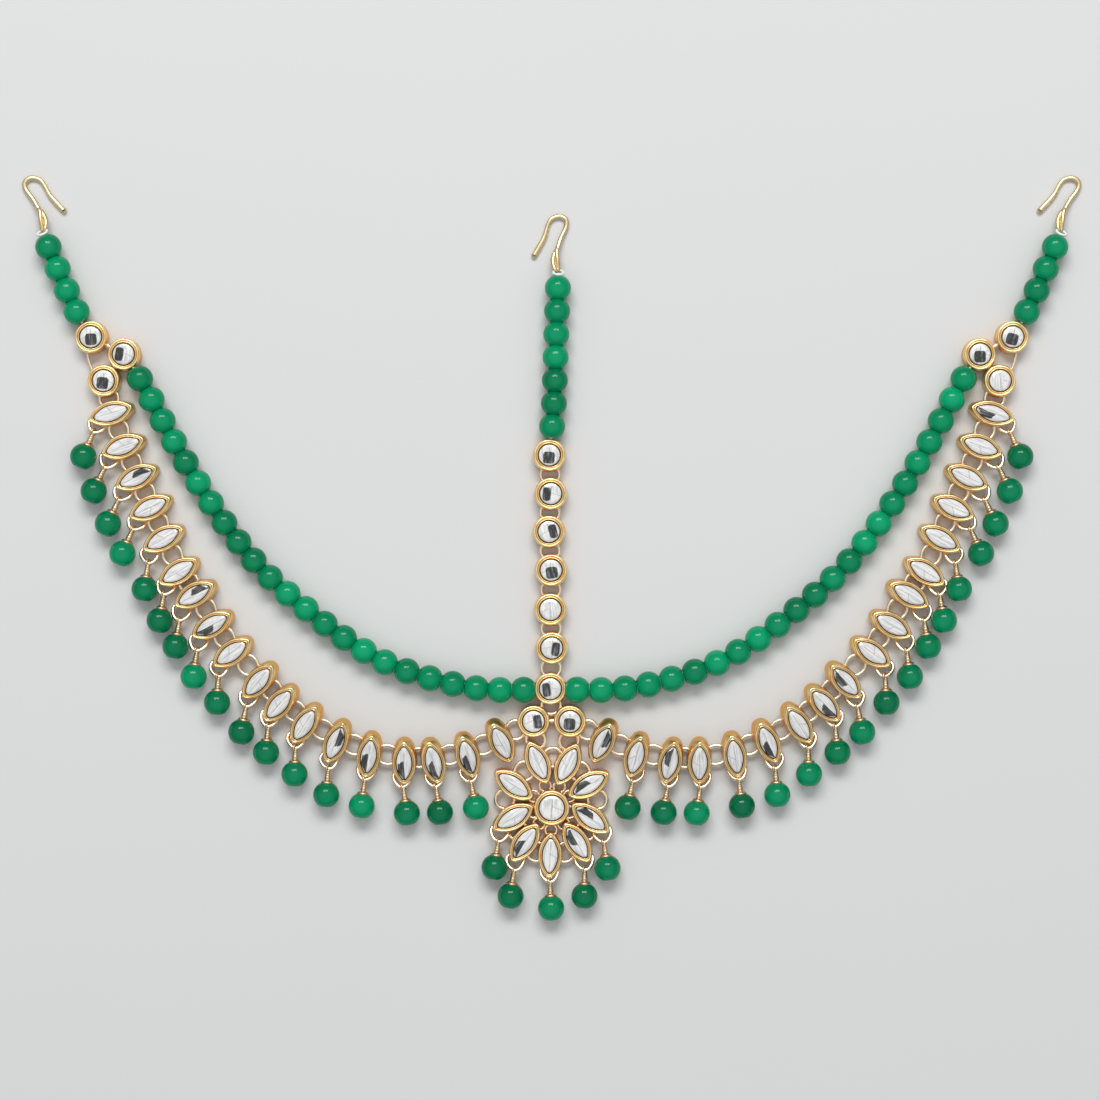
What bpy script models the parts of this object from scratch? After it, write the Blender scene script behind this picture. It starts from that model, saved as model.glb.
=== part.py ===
"""Matha patti, a head jewel of green beads and foil-backed stones in gold settings, lying flat.

Seen from above, +Y points from the flower pendant up to the hooks and +Z is up from the surface.
The tables hold places as shares of the band's pitch, measured from the flower's centre.
"""

import math
from collections import namedtuple

import bmesh
import bpy
from mathutils import Matrix, Vector

# Driving sizes in metres
BEAD_DIAMETER = 0.0060
BEAD_LENGTH = 0.00530
BEAD_PLAY = 0.00005
HOLE_FACE_DIAMETER = 0.0026
MARQUISE_LENGTH = 0.0104
MARQUISE_WIDTH = 0.0055
ROUND_DIAMETER = 0.0073
FLOWER_ROUND_DIAMETER = 0.0081
SETTING_HEIGHT = 0.0038
BEZEL_WALL = 0.0011
CROWN_RUN = 0.00055
CROWN_RISE = 0.00035
DROP_GAP = 0.0018
RING_DIAMETER = 0.0050
RING_WIRE = 0.0007
SOLDER_WIDTH = 0.0012
CAP_HEIGHT = 0.0008
STEM_LENGTH = 0.0024
STEM_WIRE = 0.0007
THREAD_DIAMETER = 0.0009
THREAD_LENGTH = 0.0007
THREAD_NECK = 0.0003
HOOK_HEIGHT = 0.0125
HOOK_WIRE = 0.00108
CLEARANCE = 0.0003

# Sizes that follow
PITCH = max(MARQUISE_WIDTH, BEAD_DIAMETER) + DROP_GAP
BEAD_RADIUS = BEAD_DIAMETER / 2
SEAT_SHARE = 0.4
SEAT_HEIGHT = SEAT_SHARE * SETTING_HEIGHT
WIRE_OFFSET = (RING_DIAMETER - RING_WIRE) / 2
PETAL_RING_SHARE = 0.26
PETAL_RING_REACH = PETAL_RING_SHARE * MARQUISE_LENGTH
BURIED_SHARE = 0.3

# Facets
ROUND_SIDES = 10
MARQUISE_SIDES = 8
WIRE_SIDES = 5
BEAD_BEVEL_STEPS = 3
HOOK_BEVEL_STEPS = 1
SHOULDER_PLACE = 0.29
SHOULDER_SHARE = 0.985
WELD_DISTANCE = 0.0001

Row = namedtuple("Row", "x y turn tilt lean slack")
Petal = namedtuple("Petal", "angle reach turn lean slack")
Place = namedtuple("Place", "matrix length width")

# The left band from its top end to the pair: x and y of the stone's centre in pitches, turn of the
# long axis and tilt in degrees, then the drop's lean to the left in degrees and how much of its
# ring's diameter hangs below the setting. The last setting holds no drop.
BAND = (
    Row(12.80, 11.45, 17, 3, 9, 0.49),
    Row(12.45, 10.49, 20, 3, 12, 0.53),
    Row(12.06, 9.59, 25, 3, 12, 0.52),
    Row(11.66, 8.71, 25, 3, 11, 0.49),
    Row(11.28, 7.81, 29, 3, -2, 0.60),
    Row(10.84, 6.85, 32, 3, -1, 0.48),
    Row(10.37, 6.18, 29, 8, -1, 0.66),
    Row(9.87, 5.30, 30, 8, -2, 0.64),
    Row(9.29, 4.50, 35, 8, -6, 0.50),
    Row(8.52, 3.66, 47, 13, 3, 0.37),
    Row(7.91, 3.00, 48, 13, -3, 0.25),
    Row(7.17, 2.41, 56, 14, -4, 0.23),
    Row(6.27, 1.89, 66, 15, 1, 0.27),
    Row(5.31, 1.49, 80, 16, 7, 0.09),
    Row(4.28, 1.30, 90, 16, -5, 0.10),
    Row(3.42, 1.31, 103, 16, -2, 0.11),
    Row(2.43, 1.48, 105, 16, -4, 0.16),
    Row(1.45, 1.88, 115, 18, None, None),
)
# Round settings at the top of the band, each (x, y) in pitches
OUTER_ROUND = (13.38, 13.67)
INNER_ROUND = (12.43, 13.17)
LOWER_ROUND = (13.01, 12.40)
# Round settings of the centre chain from the top, x to the left
COLUMN = (
    (0.07, 10.24),
    (0.03, 9.12),
    (0.08, 8.02),
    (0.02, 6.90),
    (0.04, 5.76),
    (0.00, 4.64),
    (0.04, 3.46),
)
PAIR = (0.53, 2.51)
# Petals of the flower: angle about its centre, reach as a share of the reach at which a petal
# touches the centre setting, turn of the long axis, and the drop's lean and slack as in the band
PETALS = (
    Petal(107, 1.16, 113.7, None, None),
    Petal(70, 1.13, 63.4, None, None),
    Petal(32, 1.07, 30.0, None, None),
    Petal(-15, 0.98, -36.9, 2, 0.47),
    Petal(-54, 1.05, -57.7, 8, 0.39),
    Petal(-92, 1.17, -92.6, -4, 0.17),
    Petal(-128, 1.08, -125.8, 1, 0.41),
    Petal(-166, 0.98, -149.5, -2, 0.56),
    Petal(149, 1.09, 143.9, None, None),
)
# Chosen points of the bead strings between the settings that they join, (x, y) in pitches
LONG_ROUTE = (
    (11.94, 12.48),
    (11.28, 11.19),
    (10.61, 9.98),
    (9.88, 8.80),
    (9.07, 7.65),
    (8.17, 6.63),
    (7.11, 5.74),
    (6.00, 4.88),
    (4.80, 4.16),
    (3.45, 3.72),
    (2.07, 3.42),
    (0.74, 3.42),
)
END_ROUTE = ((13.81, 14.37), (14.08, 15.02), (14.75, 16.60))
CENTRE_ROUTE = (
    (0.00, 10.99),
    (-0.07, 11.68),
    (-0.11, 13.08),
    (-0.13, 13.75),
    (-0.19, 15.43),
)
# The hook's wire from its shank's foot round the crown to the tip: across, along and thickness
# as shares of the hook's height and wire, and height as a share of the bead's radius
HOOK = (
    (0.00, 0.00, 1.5, 0.80),
    (0.02, 0.17, 1.7, 0.75),
    (0.01, 0.36, 1.6, 0.60),
    (-0.02, 0.43, 1.0, 0.50),
    (-0.07, 0.62, 1.0, 0.30),
    (-0.14, 0.79, 1.0, 0.19),
    (-0.16, 0.90, 1.0, 0.18),
    (-0.13, 0.97, 1.0, 0.18),
    (-0.06, 1.00, 1.0, 0.18),
    (0.02, 0.99, 1.0, 0.18),
    (0.10, 0.94, 1.0, 0.18),
    (0.16, 0.83, 1.0, 0.18),
    (0.20, 0.67, 1.0, 0.18),
    (0.27, 0.54, 1.0, 0.18),
    (0.44, 0.27, 1.0, 0.18),
)
END_HOOK_TURN = 11
CENTRE_HOOK_TURN = 2

LEFT = -1
RIGHT = 1


def clear_scene():
    """Removes every object that the file starts with."""
    for item in list(bpy.data.objects):
        bpy.data.objects.remove(item, do_unlink=True)


def new_collection(name):
    collection = bpy.data.collections.new(name)
    bpy.context.scene.collection.children.link(collection)
    return collection


def new_material(name, colour, roughness, metallic):
    """A plain Principled BSDF of one colour."""
    material = bpy.data.materials.new(name)
    material.use_nodes = True
    shader = material.node_tree.nodes["Principled BSDF"]
    shader.inputs["Base Color"].default_value = (*colour, 1)
    shader.inputs["Roughness"].default_value = roughness
    shader.inputs["Metallic"].default_value = metallic
    return material


def plan(point, side):
    """A place of the tables in metres, where side mirrors the left half to the right."""
    return Vector((side * point[0] * PITCH, point[1] * PITCH, 0))


def outline_of(length, width, pointed):
    """Maps a unit circle's corner to a round outline, or to a marquise with a point at each end."""

    def corner(co):
        bulge = (1 - co.y**2) * math.copysign(1, co.x) if pointed else co.x
        return Vector((bulge * width / 2, co.y * length / 2, 0))

    return corner


def stone_setting(length, width, pointed, metal_slot, stone_slot):
    """One solid: a straight wall, a rim as wide as the bezel, and a stone with crown and table."""
    mesh = bmesh.new()
    sides = MARQUISE_SIDES if pointed else ROUND_SIDES
    bmesh.ops.create_circle(mesh, cap_ends=True, segments=sides, radius=1)
    corner = outline_of(length, width, pointed)
    for vert in mesh.verts:
        vert.co = corner(vert.co)
    base = mesh.faces[:]
    raised = bmesh.ops.extrude_face_region(mesh, geom=base)["geom"]
    tops = [item for item in raised if isinstance(item, bmesh.types.BMFace)]
    corners = [item for item in raised if isinstance(item, bmesh.types.BMVert)]
    bmesh.ops.translate(mesh, verts=corners, vec=(0, 0, SETTING_HEIGHT))
    bmesh.ops.recalc_face_normals(mesh, faces=mesh.faces)
    for face in mesh.faces:
        face.material_index = metal_slot
    bmesh.ops.inset_individual(mesh, faces=tops, thickness=BEZEL_WALL, use_even_offset=True)
    for face in tops:
        face.material_index = stone_slot
    bmesh.ops.inset_individual(
        mesh, faces=tops, thickness=CROWN_RUN, depth=CROWN_RISE, use_even_offset=True
    )
    return mesh


def join_into(target, source, matrix):
    """Adds a copy of one bmesh, moved by the matrix, to another."""
    copied = bpy.data.meshes.new("copied")
    source.to_mesh(copied)
    copied.transform(matrix)
    target.from_mesh(copied)
    bpy.data.meshes.remove(copied)


def add_wire(mesh, start, end, diameter):
    """A straight round wire from start to end."""
    along = end - start
    turn = along.to_track_quat("Z", "Y").to_matrix().to_4x4()
    bmesh.ops.create_cone(
        mesh,
        cap_ends=True,
        segments=WIRE_SIDES,
        radius1=diameter / 2,
        radius2=diameter / 2,
        depth=along.length,
        matrix=Matrix.Translation((start + end) / 2) @ turn,
    )


def round_place(point, side, diameter=ROUND_DIAMETER):
    return Place(Matrix.Translation(plan(point, side)), diameter, diameter)


def marquise_place(centre, turn, tilt, side):
    """Where a marquise stands: its stone over the centre, its inner end raised by the tilt."""
    angle = math.radians(turn if side == LEFT else 180 - turn)
    lean = math.radians(tilt)
    rise = Matrix.Rotation(lean, 4, "X")
    spin = Matrix.Rotation(angle - math.pi / 2, 4, "Z")
    top = spin @ rise @ Vector((0, 0, SETTING_HEIGHT))
    foot = Vector((centre.x - top.x, centre.y - top.y, MARQUISE_LENGTH / 2 * math.sin(lean)))
    return Place(Matrix.Translation(foot) @ spin @ rise, MARQUISE_LENGTH, MARQUISE_WIDTH)


def on_setting(place, offset):
    """The point inside a setting under a plan offset from its centre, at the rings' seat."""
    local = place.matrix.to_3x3().inverted() @ offset
    return place.matrix @ Vector((local.x, local.y, SEAT_HEIGHT))


def add_link(mesh, first, second, offsets):
    """The visible wires of a ring that joins two settings, each at its offset from the centre line."""
    along = (second.matrix.translation - first.matrix.translation).to_2d().normalized().to_3d()
    across = Vector((-along.y, along.x, 0))
    for offset in offsets:
        start = on_setting(first, across * offset + along * BURIED_SHARE * first.width / 2)
        end = on_setting(second, across * offset - along * BURIED_SHARE * second.width / 2)
        add_wire(mesh, start, end, RING_WIRE if offset else SOLDER_WIDTH)


def add_open_link(mesh, first, second):
    """Ring wires fused to the first setting that end a clearance short of a round one."""
    goal = second.matrix.translation
    along = (goal - first.matrix.translation).to_2d().normalized().to_3d()
    across = Vector((-along.y, along.x, 0))
    reach = second.width / 2 + CLEARANCE
    for offset in (-WIRE_OFFSET, WIRE_OFFSET):
        start = on_setting(first, across * offset * (1 - BURIED_SHARE))
        short = math.sqrt(reach**2 - (abs(offset) - RING_WIRE / 2) ** 2)
        end = goal + across * offset - along * short
        add_wire(mesh, start, Vector((end.x, end.y, SEAT_HEIGHT)), RING_WIRE)


def object_of(name, mesh, collection, parent, materials):
    """A new object of a bmesh, which is freed."""
    data = bpy.data.meshes.new(name)
    mesh.to_mesh(data)
    mesh.free()
    for material in materials:
        data.materials.append(material)
    item = bpy.data.objects.new(name, data)
    collection.objects.link(item)
    item.parent = parent
    return item


def fused(name, settings, groups, kit):
    """Settings and the groups of wires between them made one body."""
    item = object_of(name, settings, kit.jewel, kit.root, (kit.gold, kit.stone))
    for word, wires in groups.items():
        cutter = object_of(f"{name}_{word}", wires, kit.cutters, kit.root, (kit.gold,))
        cutter.hide_render = True
        cutter.display_type = "WIRE"
        union = item.modifiers.new(word, "BOOLEAN")
        union.operation = "UNION"
        union.solver = "MANIFOLD"
        union.object = cutter


def band_places(side):
    """Settings of one side: outer, inner and lower round, then the marquises from the top."""
    rounds = [round_place(point, side) for point in (OUTER_ROUND, INNER_ROUND, LOWER_ROUND)]
    marquises = [marquise_place(plan((r.x, r.y), side), r.turn, r.tilt, side) for r in BAND]
    return rounds, marquises


def add_settings(mesh, places):
    """Adds a setting with its stone at each place."""
    for place in places:
        pointed = place.length != place.width
        setting = stone_setting(place.length, place.width, pointed, 0, 1)
        join_into(mesh, setting, place.matrix)
        setting.free()


def make_band(name, side, kit):
    rounds, marquises = band_places(side)
    outer, inner, lower = rounds
    settings = bmesh.new()
    wires = bmesh.new()
    add_settings(settings, rounds + marquises)
    add_link(wires, outer, inner, (0,))
    add_link(wires, inner, lower, (0,))
    add_link(wires, outer, lower, (side * WIRE_OFFSET,))
    chain = [lower, *marquises]
    for first, second in zip(chain, chain[1:]):
        add_link(wires, first, second, (-WIRE_OFFSET, WIRE_OFFSET))
    add_open_link(wires, marquises[-1], round_place(PAIR, side))
    fused(name, settings, {"rings": wires}, kit)


def make_centre_chain(kit):
    column = [round_place(point, LEFT) for point in COLUMN]
    pair = [round_place(PAIR, side) for side in (LEFT, RIGHT)]
    settings = bmesh.new()
    wires = bmesh.new()
    add_settings(settings, column + pair)
    for first, second in zip(column, column[1:]):
        add_link(wires, first, second, (-WIRE_OFFSET, WIRE_OFFSET))
    add_link(wires, *pair, (0,))
    for side, place in zip((LEFT, RIGHT), pair):
        start = on_setting(column[-1], Vector((side * WIRE_OFFSET, 0, 0)))
        add_wire(wires, start, on_setting(place, Vector((0, 0, 0))), RING_WIRE)
    fused("chain_centre", settings, {"rings": wires}, kit)


def petal_place(petal):
    """A petal's place about the flower's centre."""
    reach = petal.reach * (FLOWER_ROUND_DIAMETER + MARQUISE_LENGTH) / 2
    angle = math.radians(petal.angle)
    centre = Vector((reach * math.cos(angle), reach * math.sin(angle), 0))
    return marquise_place(centre, petal.turn, 0, LEFT)


def make_flower(kit):
    centre = round_place((0, 0), LEFT, FLOWER_ROUND_DIAMETER)
    petals = [petal_place(petal) for petal in PETALS]
    settings = bmesh.new()
    add_settings(settings, [centre, *petals])
    groups = {word: bmesh.new() for word in ("spokes", "rings", "hangers")}
    for petal in petals:
        add_link(groups["spokes"], petal, centre, (0,))
    for first, second in zip(petals, petals[1:] + petals[:1]):
        ends = [petal.matrix @ Vector((0, PETAL_RING_REACH, SEAT_HEIGHT)) for petal in (first, second)]
        add_wire(groups["rings"], *ends, RING_WIRE)
    for side, petal in zip((LEFT, RIGHT), petals):
        add_open_link(groups["hangers"], petal, round_place(PAIR, side))
    fused("flower_pendant", settings, groups, kit)


def turned_drop(name, tip, lean, slack, kit):
    """A bead drop lying below a setting's tip, with its cap and the wire that hangs it."""
    half = BEAD_LENGTH / 2
    hang = half + CAP_HEIGHT + STEM_LENGTH + slack * RING_DIAMETER
    shoulder = half - SHOULDER_PLACE * BEAD_LENGTH
    end = HOLE_FACE_DIAMETER / 2
    wire = STEM_WIRE / 2
    profile = (
        (0, hang - CLEARANCE),
        (wire, hang - CLEARANCE),
        (wire, half + CAP_HEIGHT),
        (end, half),
        (SHOULDER_SHARE * BEAD_RADIUS, shoulder),
        (SHOULDER_SHARE * BEAD_RADIUS, -shoulder),
        (end, -half),
        (0, -half),
    )
    mesh = bmesh.new()
    verts = [mesh.verts.new((x, 0, z)) for x, z in profile]
    for first, second in zip(verts, verts[1:]):
        mesh.edges.new((first, second))
    item = object_of(name, mesh, kit.jewel, kit.root, (kit.glass,))
    screw = item.modifiers.new("turned", "SCREW")
    screw.steps = ROUND_SIDES
    screw.render_steps = ROUND_SIDES
    screw.use_merge_vertices = True
    screw.merge_threshold = WELD_DISTANCE
    down = Vector((-math.sin(math.radians(lean)), -math.cos(math.radians(lean)), 0))
    item.location = (*(tip + down * hang).xy, BEAD_RADIUS)
    item.rotation_mode = "QUATERNION"
    item.rotation_quaternion = (-down).to_track_quat("Z", "Y")


def tip_of(place, end):
    """The upper edge of a marquise's tip, at its inner end for 1 and its outer end for -1."""
    return place.matrix @ Vector((0, end * place.length / 2, SETTING_HEIGHT))


def make_drops(kit):
    for side, word in ((LEFT, "left"), (RIGHT, "right")):
        marquises = band_places(side)[1]
        for number, (row, place) in enumerate(zip(BAND, marquises), start=1):
            if row.lean is not None:
                name = f"drop_{word}_{number:02d}"
                turned_drop(name, tip_of(place, -1), -side * row.lean, row.slack, kit)
    hung = [petal for petal in PETALS if petal.lean is not None]
    for number, petal in enumerate(hung, start=1):
        tip = tip_of(petal_place(petal), 1)
        turned_drop(f"drop_flower_{number}", tip, petal.lean, petal.slack, kit)


def trimmed(points, first_cut, last_cut):
    """The route with a length cut from each end, without the points inside those lengths."""
    start = points[0] + (points[1] - points[0]).normalized() * first_cut
    end = points[-1] + (points[-2] - points[-1]).normalized() * last_cut
    inner = [
        p
        for p in points[1:-1]
        if (p - points[0]).length > first_cut and (p - points[-1]).length > last_cut
    ]
    return [start, *inner, end]


def point_along(points, distance):
    """The point at a distance along a polyline."""
    for first, second in zip(points, points[1:]):
        step = (second - first).length
        if distance <= step:
            return first.lerp(second, distance / step)
        distance -= step
    return points[-1]


def poly_tube(name, points, radii, steps, material, kit):
    """A curve object with one radius for each of its points."""
    curve = bpy.data.curves.new(name, "CURVE")
    curve.dimensions = "3D"
    curve.bevel_depth = 1
    curve.bevel_resolution = steps
    curve.use_fill_caps = True
    curve.twist_mode = "Z_UP"
    curve.materials.append(material)
    spline = curve.splines.new("POLY")
    spline.points.add(len(points) - 1)
    for corner, point, radius in zip(spline.points, points, radii):
        corner.co = (*point, 1)
        corner.radius = radius
    item = bpy.data.objects.new(name, curve)
    kit.jewel.objects.link(item)
    item.parent = kit.root


def bead_string(name, route, free_end, kit):
    """Beads end to end along the route, fused, with a stub of thread past a free end."""
    length = sum((b - a).length for a, b in zip(route, route[1:]))
    count = max(1, round(length / (BEAD_LENGTH + BEAD_PLAY)))
    step = length / count
    face = HOLE_FACE_DIAMETER / 2
    shoulder = SHOULDER_SHARE * BEAD_RADIUS
    places = [0]
    radii = [face]
    for bead in range(count):
        places += [(bead + share) * step for share in (SHOULDER_PLACE, 1 - SHOULDER_PLACE, 1)]
        radii += [shoulder, shoulder, face]
    points = [point_along(route, place) for place in places]
    if free_end:
        heading = (route[-1] - route[-2]).normalized()
        points += [points[-1] + heading * THREAD_NECK, points[-1] + heading * THREAD_LENGTH]
        radii += [THREAD_DIAMETER / 2, THREAD_DIAMETER / 2]
    raised = [Vector((p.x, p.y, BEAD_RADIUS)) for p in points]
    poly_tube(name, raised, radii, BEAD_BEVEL_STEPS, kit.glass, kit)
    return points[-1]


def make_hook(name, foot, turn, side, kit):
    """A hook whose shank stands on the string's end, with its free leg towards the side."""
    spin = Matrix.Rotation(math.radians(turn), 3, "Z")
    points = []
    radii = []
    for across, along, thick, rise in HOOK:
        flat = spin @ Vector((side * across * HOOK_HEIGHT, along * HOOK_HEIGHT, 0))
        radius = thick * HOOK_WIRE / 2
        points.append(foot + Vector((flat.x, flat.y, max(rise * BEAD_RADIUS, radius))))
        radii.append(radius)
    poly_tube(name, points, radii, HOOK_BEVEL_STEPS, kit.pale_gold, kit)


def make_strings_and_hooks(kit):
    cut = ROUND_DIAMETER / 2 + CLEARANCE
    for side, word in ((LEFT, "left"), (RIGHT, "right")):
        points = [plan(point, side) for point in (INNER_ROUND, *LONG_ROUTE)]
        points.append(plan(COLUMN[-1], LEFT))
        bead_string(f"beads_{word}", trimmed(points, cut, cut), False, kit)
        points = [plan(point, side) for point in (OUTER_ROUND, *END_ROUTE)]
        end = bead_string(f"beads_{word}_end", trimmed(points, cut, 0), True, kit)
        foot = end + (points[-1] - points[-2]).normalized() * CLEARANCE
        make_hook(f"hook_{word}", foot, -side * END_HOOK_TURN, -side, kit)
    points = [plan(point, LEFT) for point in (COLUMN[0], *CENTRE_ROUTE)]
    end = bead_string("beads_centre", trimmed(points, cut, 0), True, kit)
    foot = end + (points[-1] - points[-2]).normalized() * CLEARANCE
    make_hook("hook_centre", foot, CENTRE_HOOK_TURN, LEFT, kit)


def rest_on_origin(kit):
    """Moves the root so that the middle of the jewel's underside is the origin."""
    bpy.context.view_layer.update()
    graph = bpy.context.evaluated_depsgraph_get()
    corners = []
    for item in kit.jewel.objects:
        shown = item.evaluated_get(graph)
        if item.type != "EMPTY":
            corners += [shown.matrix_world @ Vector(corner) for corner in shown.bound_box]
    low = [min(corner[axis] for corner in corners) for axis in range(3)]
    high = [max(corner[axis] for corner in corners) for axis in range(3)]
    kit.root.location = (-(low[0] + high[0]) / 2, -(low[1] + high[1]) / 2, -low[2])


def main():
    clear_scene()
    Kit = namedtuple("Kit", "jewel cutters root gold pale_gold stone glass")
    jewel = new_collection("matha_patti")
    root = bpy.data.objects.new("jewel_root", None)
    jewel.objects.link(root)
    kit = Kit(
        jewel,
        new_collection("cutters"),
        root,
        new_material("gold", (0.83, 0.55, 0.22), 0.35, 1.0),
        new_material("pale_gold", (0.86, 0.70, 0.48), 0.3, 1.0),
        new_material("foiled_stone", (0.85, 0.85, 0.87), 0.08, 0.6),
        new_material("green_glass", (0.0, 0.30, 0.13), 0.1, 0.0),
    )
    for side, word in ((LEFT, "left"), (RIGHT, "right")):
        make_band(f"band_{word}", side, kit)
    make_centre_chain(kit)
    make_flower(kit)
    make_drops(kit)
    make_strings_and_hooks(kit)
    rest_on_origin(kit)


main()
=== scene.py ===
"""The looks of a matha patti, a head jewel of green beads and foiled stones in gold settings.

Seen from above, +Y points from the flower pendant up to the hooks and +Z is up from the table.
The layout tables hold places as shares of the band's pitch, measured from the flower's centre.
"""

import math
from collections import namedtuple

import bpy
import numpy as np
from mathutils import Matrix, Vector


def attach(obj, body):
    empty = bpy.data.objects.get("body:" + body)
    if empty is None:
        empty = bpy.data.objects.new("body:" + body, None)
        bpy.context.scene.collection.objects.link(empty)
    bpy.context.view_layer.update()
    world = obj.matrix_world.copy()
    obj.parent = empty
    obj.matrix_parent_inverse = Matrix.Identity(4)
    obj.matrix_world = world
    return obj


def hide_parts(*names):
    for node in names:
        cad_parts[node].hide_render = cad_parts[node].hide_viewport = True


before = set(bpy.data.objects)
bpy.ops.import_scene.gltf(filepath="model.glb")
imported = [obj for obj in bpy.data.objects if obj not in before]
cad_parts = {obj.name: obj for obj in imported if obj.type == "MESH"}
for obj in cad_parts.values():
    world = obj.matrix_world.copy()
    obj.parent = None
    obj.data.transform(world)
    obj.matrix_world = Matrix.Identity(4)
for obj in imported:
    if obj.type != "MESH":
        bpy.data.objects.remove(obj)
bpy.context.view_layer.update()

bl_info = {
    "name": "Matha Patti Looks",
    "version": (1, 0, 0),
    "blender": (4, 5, 0),
    "location": "3D View > Sidebar > Matha Patti",
    "description": "Dresses a packed matha patti with beads, stones, gold and a soft studio",
    "category": "Object",
}

# Layout shared with the solids, in metres
PITCH = 0.0078
FLOWER_PLACE = np.array([0.0, -0.058796, 0.0])
MARQUISE_LENGTH = 0.0104
MARQUISE_WIDTH = 0.0055
ROUND_DIAMETER = 0.0073
FLOWER_ROUND_DIAMETER = 0.0081
SETTING_HEIGHT = 0.0038
BEAD_RADIUS = 0.0030
BEAD_LENGTH = 0.0053
BEAD_PLAY = 0.00005
RING_DIAMETER = 0.0050
RING_WIRE = 0.0007
RING_SEAT = 0.00152
CLEARANCE = 0.0003
THREAD_LENGTH = 0.0007
CAP_HEIGHT = 0.0008
STEM_LENGTH = 0.0024
HOOK_HEIGHT = 0.0125
HOOK_WIRE = 0.00108

LEFT = -1
RIGHT = 1
SIDES = ((LEFT, "left"), (RIGHT, "right"))
UP = np.array([0.0, 0.0, 1.0])
FLAT = np.array([1, 1, 0])

Row = namedtuple("Row", "x y turn tilt lean slack")
Petal = namedtuple("Petal", "angle reach turn lean slack")

# Marquises of the left band: stone's centre in pitches, turn and tilt in degrees, then the drop's
# lean in degrees and the share of its ring that hangs below the setting
BAND = (
    Row(12.80, 11.45, 17, 3, 9, 0.49),
    Row(12.45, 10.49, 20, 3, 12, 0.53),
    Row(12.06, 9.59, 25, 3, 12, 0.52),
    Row(11.66, 8.71, 25, 3, 11, 0.49),
    Row(11.28, 7.81, 29, 3, -2, 0.60),
    Row(10.84, 6.85, 32, 3, -1, 0.48),
    Row(10.37, 6.18, 29, 8, -1, 0.66),
    Row(9.87, 5.30, 30, 8, -2, 0.64),
    Row(9.29, 4.50, 35, 8, -6, 0.50),
    Row(8.52, 3.66, 47, 13, 3, 0.37),
    Row(7.91, 3.00, 48, 13, -3, 0.25),
    Row(7.17, 2.41, 56, 14, -4, 0.23),
    Row(6.27, 1.89, 66, 15, 1, 0.27),
    Row(5.31, 1.49, 80, 16, 7, 0.09),
    Row(4.28, 1.30, 90, 16, -5, 0.10),
    Row(3.42, 1.31, 103, 16, -2, 0.11),
    Row(2.43, 1.48, 105, 16, -4, 0.16),
    Row(1.45, 1.88, 115, 18, None, None),
)
OUTER_ROUND = (13.38, 13.67)
INNER_ROUND = (12.43, 13.17)
LOWER_ROUND = (13.01, 12.40)
COLUMN = (
    (0.07, 10.24),
    (0.03, 9.12),
    (0.08, 8.02),
    (0.02, 6.90),
    (0.04, 5.76),
    (0.00, 4.64),
    (0.04, 3.46),
)
PAIR = (0.53, 2.51)
# Petals: angle, reach against the touching one, turn of the long axis, drop's lean and slack
PETALS = (
    Petal(107, 1.16, 113.7, None, None),
    Petal(70, 1.13, 63.4, None, None),
    Petal(32, 1.07, 30.0, None, None),
    Petal(-15, 0.98, -36.9, 2, 0.47),
    Petal(-54, 1.05, -57.7, 8, 0.39),
    Petal(-92, 1.17, -92.6, -4, 0.17),
    Petal(-128, 1.08, -125.8, 1, 0.41),
    Petal(-166, 0.98, -149.5, -2, 0.56),
    Petal(149, 1.09, 143.9, None, None),
)
# From the flower's centre to the ring after each petal, in millimetres
PETAL_RINGS = (11.3, 10.3, 10.5, 9.4, 10.7, 10.7, 9.4, 10.8, 10.3)
LONG_ROUTE = (
    (11.94, 12.48),
    (11.28, 11.19),
    (10.61, 9.98),
    (9.88, 8.80),
    (9.07, 7.65),
    (8.17, 6.63),
    (7.11, 5.74),
    (6.00, 4.88),
    (4.80, 4.16),
    (3.45, 3.72),
    (2.07, 3.42),
    (0.74, 3.42),
)
END_ROUTE = ((13.81, 14.37), (14.08, 15.02), (14.75, 16.60))
CENTRE_ROUTE = ((0.00, 10.99), (-0.07, 11.68), (-0.11, 13.08), (-0.13, 13.75), (-0.19, 15.43))
# The hook's wire above its shank: across and along as shares of the hook's height, and height
# as a share of the bead's radius
HOOK = (
    (0.04, 0.33, 0.58),
    (0.00, 0.44, 0.50),
    (-0.07, 0.63, 0.30),
    (-0.16, 0.81, 0.20),
    (-0.18, 0.92, 0.18),
    (-0.15, 0.99, 0.18),
    (-0.07, 1.03, 0.18),
    (0.02, 1.02, 0.18),
    (0.11, 0.97, 0.18),
    (0.17, 0.86, 0.18),
    (0.22, 0.70, 0.18),
    (0.29, 0.56, 0.18),
    (0.46, 0.29, 0.18),
)
SHANK = ((0.02, 0.00, 0.80), (0.05, 0.17, 0.75), (0.04, 0.34, 0.60), (0.00, 0.44, 0.52))
# A drop's cap above its bead: radius and height over the bead's end in millimetres
CAP = (
    (0.40, -0.30),
    (1.24, -0.10),
    (1.38, 0.00),
    (1.40, 0.18),
    (1.32, 0.36),
    (1.08, 0.54),
    (0.82, 0.68),
    (0.65, 0.88),
)
# The wall and lip of a bead's hole: radius and height over the bead's end in millimetres
BEAD_LIP = ((0.62, 0.0), (0.46, -0.1), (0.40, -0.7))
# How thick a hook's wire is and how far its shank's strands spread, at shares of their way
HOOK_THICKNESS = ((0, 0.5, 0.72, 0.9, 1), (0.94, 1.0, 0.84, 1.06, 1.08))
STRAND_SPREAD = ((0, 0.1, 0.45, 0.8, 1), (0.15, 0.85, 1.0, 0.6, 0.05))
STRAND_THICKNESS = ((0, 0.06, 1), (0.7, 1, 1))

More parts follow.
